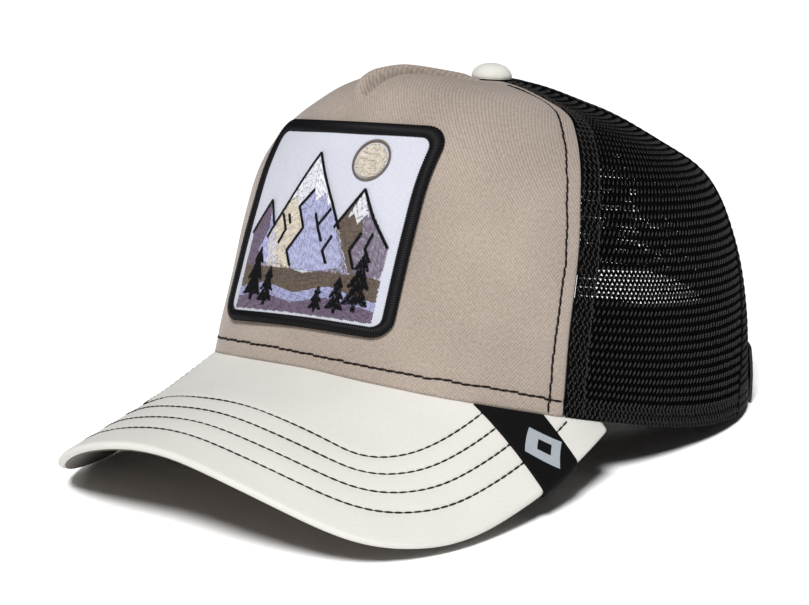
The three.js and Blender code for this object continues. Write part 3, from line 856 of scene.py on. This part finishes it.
# The peak: its cover wraps round the free edge, and the taupe cloth lies below.
PEAK_ROOT, ROOT_DEPTH = math.radians(62), 4.8
TOP_SHARE, ROLL_FULLNESS = 0.45, 0.999
STITCH_INSETS, FAR_CHANGES = (11.8, 19.8, 27.8, 35.8), (-1.8, 0.2, 2.2, 2.4)
ROW_DROP, ROW_WIDTH, FAR_DRIFT = 0.28, 0.8, 4.5


def peak_spot(share, out, inset=0.0):
    """A place on the peak's plan, from its root at 0 to its edge, and how far the edge is."""
    edge = peak_edge(share * PEAK_END, inset)
    root = crown_layer(share * PEAK_ROOT, np.zeros_like(share), ROOT_DEPTH)[..., :2]
    spot = root + (edge - root) * out[..., None]
    return spot[..., 0], spot[..., 1], np.linalg.norm(edge - root, axis=-1) * (1 - out) + inset


def softened(line, reach=5.0, step=0.5, window=30):
    """The same line without its small kinks, in even steps."""
    along = lengths_along(line)
    even = np.linspace(0, along[-1], int(along[-1] / step))
    columns = sampled(even, along, line).T
    padded = [np.pad(column, window, "reflect", reflect_type="odd") for column in columns]
    return np.stack([blurred(column, window, reach / step) for column in padded], -1)


def stitch_row(inset, far_change):
    """A sewn row's plan: level with the edge, a little off it on the wearer's right wing."""
    angle = np.linspace(-100, 100, 900)
    inset = inset + far_change * ease(-angle, 5, 30) - FAR_DRIFT * ease(-angle, 48, 70)
    line = softened(peak_edge(angle, inset))
    x, forward = line[:, 0], CROWN_MIDDLE - line[:, 1]
    return line[np.hypot(x, forward) >= crown_reach(np.arctan2(x, forward), 0) + 0.4]


ROWS = [stitch_row(inset, change) for inset, change in zip(STITCH_INSETS, FAR_CHANGES)]


def row_groove(x, y):
    """How far the sewn rows pull the cover down."""
    away = [np.hypot(x[:, None] - row[::2, 0], y[:, None] - row[::2, 1]).min(axis=1) for row in ROWS]
    return sum(ROW_DROP * ridge(nearest, ROW_WIDTH) for nearest in away)


def peak_cover_face(u, v):
    """v runs over the top from the root, round the edge, and back below to the root."""
    share, half = 2 * u - 1, PEAK_THICKNESS / 2
    out = np.clip(np.minimum(v, 1 - v) / TOP_SHARE, 0, 1)
    x, y, from_edge = peak_spot(share, out, half)
    turn = np.pi * np.clip((v - TOP_SHARE) / (1 - 2 * TOP_SHARE), 0, 1)
    edge, ahead = peak_edge(share * PEAK_END, half), peak_edge(share * PEAK_END, half - 1.0)
    outwards = unit(peak_layer(*ahead.T, 0) - peak_layer(*edge.T, 0)) * ROLL_FULLNESS
    unevenness = 0.12 * ripple(x, y, 5, 30) * ease(from_edge, 2, 12)
    drop = (row_groove(x, y) + unevenness) * (v < TOP_SHARE)
    centre, upwards = peak_layer(x, y, half), peak_outwards(x, y)
    bend = upwards * (half * np.cos(turn) - drop)[:, None] + outwards * (half * np.sin(turn))[:, None]
    return centre + bend


def peak_plan(u, v):
    return (u - 0.5) * 260, np.abs(v - 0.5) * 190


mesh = mapped_mesh("peak_cover", 200, 160, peak_cover_face, peak_plan, weld=0.001)
cover = new_piece("peak_cover", mesh, OFF_WHITE)
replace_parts(cover, "peak_top")


LINING_INSET, LINING_GAP, LINING_THICKNESS = 0.6, 0.05, 0.5


def peak_lining_face(u, v):
    x, y, _ = peak_spot((2 * u - 1) * 0.985, v * 0.99, LINING_INSET)
    return peak_layer(x, y, PEAK_THICKNESS + LINING_GAP)


shape = (160, 50, peak_lining_face, lambda u, v: ((u - 0.5) * 260, v * 85))
# The lining's colour carries painted shade for the peak's underside.
lining = sheet(
    "peak_lining", shape, DOWNWARDS, SHADED_TAUPE, LINING_THICKNESS, offset=1.0, even=False
)
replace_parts(lining, "peak_underside")

for number, row in enumerate(ROWS, 1):
    ends = stitch_ends(peak_layer(*row.T, 0.08), peak_outwards(*row.T), 3.0, 0.15)
    threads(f"peak_stitches_{number}", *ends, 0.35, PEAK_STITCH, "off_white_cloth", overlong=1.06)

# The button: a cloth-covered dome, by its radius and height, leaning back a little.
BUTTON_PROFILE = (
    (0.0, -0.35), (6.4, -0.35), (7.2, 0.0), (7.45, 0.7), (7.3, 1.7),
    (6.7, 2.9), (5.6, 4.0), (4.0, 4.9), (2.0, 5.45), (0.0, 5.6),
)
BUTTON_WIDENING, BUTTON_RAISING, BUTTON_TILT = 0.95, 0.93, math.radians(4.5)
BUTTON_PLACE = (0.7, CROWN_MIDDLE + 0.5, CROWN_TOP + 0.45)
TUCKS, TUCK_DEPTH = 14, 0.006


def button_face(u, v):
    at = np.linspace(0, 1, len(BUTTON_PROFILE))
    profile = np.array(BUTTON_PROFILE)
    radius, height = (curve(at, profile[:, i], v) for i in (0, 1))
    turn = u * 2 * np.pi
    tuck = 1 + TUCK_DEPTH * np.sin(turn * TUCKS) * ease(v, 0.1, 0.2) * (1 - ease(v, 0.35, 0.6))
    radius, z = np.maximum(radius, 0) * BUTTON_WIDENING * tuck, height * BUTTON_RAISING
    return leaned(radius * np.cos(turn), radius * np.sin(turn), z, -BUTTON_TILT) + BUTTON_PLACE


mesh = mapped_mesh("button_cover", 64, 36, button_face, lambda u, v: (u * 46, v * 12), weld=0.002)
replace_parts(new_piece("button_cover", mesh, OFF_WHITE), "top_button")

# The patch: ground, overlocked border and a stitched mountain scene.


def patch_place(across, up, lift):
    """From the patch's plan to a place over the crown, and the outward direction there."""
    up = up + PATCH["tilt"] * across
    share = up / PATCH["height"]
    level = PATCH["low"] + (PATCH["high"] - PATCH["low"]) * share
    x = PATCH["middle"] + PATCH["slant"] * (share - 0.5) + across * (1 + PATCH["narrowing"] * (0.5 - share))
    front, side = (crown_value(c, level, TOP_STEEPNESS) for c in ("front", "side"))
    power = crown_value("squareness", level)
    angle = np.arctan2(x, front * (1 - np.abs(x / side) ** power) ** (1 / power))
    return crown_layer(angle, level, -lift), crown_outwards(angle, level)


def ground_face(u, v):
    across = (2 * u - 1) * (PATCH["half"] - GROUND_INSET)
    up = GROUND_INSET + v * (PATCH["height"] - 2 * GROUND_INSET)
    return patch_place(across, up, GROUND_LIFT + 0.06 * ripple(across, up, 11, 18))[0]


shape = (90, 90, ground_face, lambda u, v: (u * 66, v * 67))
ground = sheet("patch_twill", shape, FORWARDS, GROUND, GROUND_THICKNESS)
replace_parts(ground, "patch_ground")


def rounded_rectangle(half_x, half_y, corner, share):
    """A place on a rounded rectangle and its outward direction, by its share of the way round."""
    straight_x, straight_y = 2 * (half_x - corner), 2 * (half_y - corner)
    bend = corner * math.pi / 2
    lengths = [straight_x, bend, straight_y, bend] * 2
    starts = np.concatenate([[0], np.cumsum(lengths)])
    at = (share % 1) * starts[-1]
    part = np.clip(np.searchsorted(starts, at, side="right") - 1, 0, 7)
    inside = (at - starts[part]) / np.array(lengths)[part]
    quarter, curved = part // 2, part % 2
    turn = (quarter + np.where(curved, inside, 0)) * np.pi / 2 - np.pi / 2
    signs = np.array([(-1, -1, 1, -1), (1, -1, 1, 1), (1, 1, -1, 1), (-1, 1, -1, -1)])[quarter]
    slide = np.where(curved, 1, inside)[:, None]
    hub = signs[:, :2] * (1 - slide) + signs[:, 2:] * slide
    outwards = np.stack([np.cos(turn), np.sin(turn)], -1)
    return hub * np.array([half_x - corner, half_y - corner]) + outwards * corner, outwards


def border_face(u, v):
    """Turns of thread wound round the patch's edge, each one a little slanted."""
    shift = u + 0.35 * (v - 0.5) / BORDER_TURNS
    sizes = (size - BORDER_RADIUS for size in (PATCH["half"], PATCH["height"] / 2, PATCH["corner"]))
    centre, outwards = rounded_rectangle(*sizes, shift)
    turn, wound = v * 2 * np.pi, 1 + 0.07 * np.sin(u * 2 * np.pi * BORDER_TURNS)
    wide = BORDER_RADIUS * np.cos(turn) * wound
    rise = np.where(np.sin(turn) > 0, 1.25 * wound, 0.5) * np.sin(turn)
    spot = centre + outwards * wide[:, None]
    return patch_place(spot[:, 0], spot[:, 1] + PATCH["height"] / 2, BORDER_LIFT + rise)[0]


mesh = mapped_mesh(
    "patch_overlock", BORDER_TURNS * 5, 14, border_face, lambda u, v: (u * 300, v * 14), weld=0.02
)
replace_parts(new_piece("patch_overlock", mesh, BLACK_THREAD), "patch_border")


def shape_threads(outline, turn, spacing=0.42, length=4.2, seed=1):
    """Fills an outline with staggered parallel threads and gives their two ends."""
    outline = np.array(outline, float)
    turn = math.radians(turn)
    along = np.array((math.cos(turn), math.sin(turn)))
    across = np.array((-along[1], along[0]))
    run, side = outline @ along, outline @ across
    next_run, next_side = np.roll(run, -1), np.roll(side, -1)
    dice = np.random.default_rng(seed)
    ends = []
    for line in np.arange(side.min() + spacing / 2, side.max(), spacing):
        hit = (side <= line) != (next_side <= line)
        share = (line - side) / np.where(hit, next_side - side, 1)
        cuts = np.sort((run + share * (next_run - run))[hit])
        for low, high in zip(cuts[::2], cuts[1::2]):
            at = low - dice.uniform(0, length)
            while at < high:
                following = at + length * dice.uniform(0.8, 1.2)
                first, last = max(at, low), min(following, high)
                if last - first > 0.17 * length:
                    ends.append((along * first + across * line, along * last + across * line))
                at = following
    return ends


def line_threads(path, width=1.1, spacing=0.36, lean=20):
    """Satin stitches across a path."""
    turn = math.radians(90 - lean)
    crosswise = np.array(((math.cos(turn), -math.sin(turn)), (math.sin(turn), math.cos(turn))))
    ends = []
    for start, end in zip(np.array(path[:-1], float), np.array(path[1:], float)):
        span = np.linalg.norm(end - start)
        run = (end - start) / span
        over = crosswise @ run
        for at in np.arange(0, span, spacing):
            middle = start + run * at
            ends.append((middle - over * width / 2, middle + over * width / 2))
    return ends


def ring_outline(x, y, radius, count=28):
    turns = np.linspace(0, 2 * math.pi, count, endpoint=False)
    return [(x + radius * math.cos(turn), y + radius * math.sin(turn)) for turn in turns]


# Half a fir's outline from its tip down, by shares of its width and height.
PINE = (
    (0, 1), (0.30, 0.68), (0.14, 0.70), (0.42, 0.38), (0.2, 0.41), (0.5, 0.10), (0.08, 0.12), (0.08, 0),
)


def pine(x, low, tall, wide):
    left = [(x - wide * out, low + tall * up) for out, up in PINE]
    return left + [(2 * x - px, py) for px, py in reversed(left[1:])]


# The patch's picture in millimetres from the middle of its lower edge. Each colour has its finish,
# its lift, and its outlines with the direction of their threads in degrees.
PINES = ((-22, 8, 19, 10), (-14.5, 6.5, 14, 8), (23, 8, 20, 10), (16, 6.5, 13, 7.5), (8.5, 6, 9.5, 6))
SUN, SUN_RADIUS, SUN_RING = (16, 58), 5.6, 6.4
GREAT_PEAK = (-5, 59)
SNOW_LINE = [(-14, 42), (-10.5, 44.5), (-8.5, 40), (-5, 45), (-3, 47)]
FOLD = [(-3, 47), (-8, 41), (-4, 34), (-9, 26)]
HIGH_HILL = [(-30, 12.5), (-16, 15), (-2, 12), (12, 15.5), (30, 12)]
LOW_HILL = [(-30, 9), (-16, 11), (-2, 8.5), (12, 11.5), (30, 9)]
ART = {
    "lavender": (LAVENDER, 1.5, [
        ([GREAT_PEAK, *FOLD, (-6, 20), (19, 20), (10, 36)], -62),
        ([(-23, 42), (-21, 33), (-24, 26), (-22, 20), (-12, 20), (-17, 32)], -60),
        (HIGH_HILL + LOW_HILL[::-1], 8),
    ]),
    "white": (WHITE, 1.62, [
        ([GREAT_PEAK, *SNOW_LINE], 62),
        ([GREAT_PEAK, (-3, 47), (-1, 43), (2, 46), (4.5, 41.5), (6, 43)], -62),
        ([(17.5, 48), (13, 38), (15.5, 40), (17.5, 36.5), (20, 40), (22, 38)], 75),
    ]),
    "cream": (CREAM, 1.5, [
        ([*SNOW_LINE, *FOLD[1:], (-6, 20), (-18, 20), (-20, 31)], 58),
        (ring_outline(*SUN, SUN_RADIUS), 20),
    ]),
    "brown": (BROWN, 1.5, [
        ([(17.5, 48), (9, 35), (15, 24), (13, 20), (20, 20), (17, 28), (20, 34)], 65),
        ([(-30, 20), (-15, 22), (0, 19), (14, 22), (30, 19.5), *HIGH_HILL[::-1]], -12),
    ]),
    "mauve": (MAUVE, 1.5, [
        ([(17.5, 48), (20, 34), (17, 28), (20, 20), (30, 20), (30, 30)], -66),
        ([(-23, 42), (-30, 31), (-30, 20), (-22, 20), (-24, 26), (-21, 33)], 55),
        ([*LOW_HILL, (30, 5), (-30, 5)], -6),
    ]),
    "black": (BLACK_THREAD, 1.8, [(pine(*tree), 90) for tree in PINES]),
}
ART_LINES = (
    [(-30, 31), (-23, 42.5), (-18.5, 34)],
    [(-20.5, 30), (-14, 42), (-5, 59.5), (6, 43), (11, 34.5)],
    [(9, 35), (17.5, 48.5), (23, 39), (30, 30)],
    [*FOLD, (-6, 21)],
    [(6, 41), (2, 35), (5, 30)], [(0, 39), (3, 33)],
    [(-15, 38), (-12, 33), (-14, 28)], [(20, 34), (17, 28), (20, 22)],
    [(-12, 38), (-10.5, 35)], [(9, 32), (6.5, 27), (9, 23)], [(24, 34), (22.5, 29), (25, 25)],
)


def stitch_art(name, pairs, lift, finish):
    starts, stops = np.array(pairs).transpose(1, 2, 0)
    rise = lift + np.random.default_rng(len(pairs)).uniform(0, 0.08, len(pairs))
    first, normals = patch_place(*starts, rise)
    last, _ = patch_place(*stops, rise)
    threads(name, first, last, normals, 0.24, finish, "patch_ground", shape=FINE_THREAD, overlong=1.12)


for word, (finish, lift, shapes) in ART.items():
    pairs = []
    for seed, (outline, turn) in enumerate(shapes, 1):
        pairs += shape_threads(outline, turn, seed=seed)
    stitch_art(f"patch_{word}_threads", pairs, lift, finish)
pairs = [pair for line in ART_LINES for pair in line_threads(line)]
stitch_art("patch_outline_threads", pairs, 1.85, BLACK_THREAD)
sun_ring = ring_outline(*SUN, SUN_RING, 40)
stitch_art("patch_sun_threads", line_threads(sun_ring + sun_ring[:1], 0.9), 1.62, BROWN)

# The tab: a woven ribbon folded round the peak's left edge, with a plain diamond woven in. It
# lies between two angles round the peak, and goes on for a length below.
TAB_FROM, TAB_TO, TAB_UNDER = 76.4, 88.2, 22
TAB_LIFT, TAB_THICKNESS = 0.75, 0.7


def tab_place(angle, path, lift):
    """path 0 to 1 over the peak, 1 to 2 round its edge, 2 to 3 below."""
    edge = peak_edge(angle, PEAK_THICKNESS / 2)
    rim = crown_layer(np.linspace(0, np.pi / 2, 600), np.zeros(600), -0.5)
    y, half = edge[:, 1], PEAK_THICKNESS / 2 + 0.25
    start = np.interp(y, rim[:, 1], rim[:, 0])
    end = np.maximum(edge[:, 0] - TAB_UNDER, start + 1.5)
    over, under = np.clip(path, 0, 1), np.clip(path - 2, 0, 1)
    x = np.where(path <= 1, start + (edge[:, 0] - start) * over, edge[:, 0] + (end - edge[:, 0]) * under)
    turn = np.pi * np.clip(path - 1, 0, 1)
    upwards = peak_outwards(x, y)
    outwards = unit(np.stack([upwards[:, 2], np.zeros_like(x), -upwards[:, 0]], -1))
    bend = upwards * np.cos(turn)[:, None] + outwards * np.sin(turn)[:, None]
    return peak_layer(x, y, PEAK_THICKNESS / 2) + bend * (half + lift)[:, None]


def tab_face(u, v):
    edge_roll = 0.12 * (np.abs(2 * u - 1) ** 8)
    return tab_place(TAB_FROM + u * (TAB_TO - TAB_FROM), v * 3, TAB_LIFT - edge_roll)


shape = (24, 120, tab_face, lambda u, v: (u * 18, v * 60))
ribbon = sheet("tab_ribbon", shape, UP_AND_LEFT, RIBBON, TAB_THICKNESS)
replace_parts(ribbon, "peak_tab")

# The snap strap keeps its moulded shape.
for word in ("left", "right"):
    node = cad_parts[f"strap_{word}"]
    node.data.materials.clear()
    node.data.materials.append(PLASTIC)

# Floor, light and backdrop. The floor is brighter than white, so that the shadow's edges fade out.
FLOOR_TONE, FLOOR_HALF, BACKDROP_STRENGTH = 1.35, 6.0, 0.045
SUN_PLACE, SUN_SPREAD, SUN_STRENGTH = (30, 49), 16, 3.44
mesh = grid_mesh("floor", 1, 1, FLOOR_HALF)
finish = Finish("pale_floor")
tone = (FLOOR_TONE,) * 3
mesh.materials.append(finish.surface(Base_Color=tone, Roughness=0.9, Specular_IOR_Level=0.1))
floor = linked("floor", mesh)
sun = bpy.data.lights.new("front_light", "SUN")
sun.angle, sun.energy = math.radians(SUN_SPREAD), SUN_STRENGTH
light = linked("front_light", sun)
light.rotation_mode = "QUATERNION"
light.rotation_quaternion = direction(*SUN_PLACE).to_track_quat("Z", "Y")
world = bpy.data.worlds.new("studio")
bpy.context.scene.world = world
world.use_nodes = True
backdrop = world.node_tree.nodes["Background"]
backdrop.inputs["Color"].default_value = (1, 1, 1, 1)
backdrop.inputs["Strength"].default_value = BACKDROP_STRENGTH
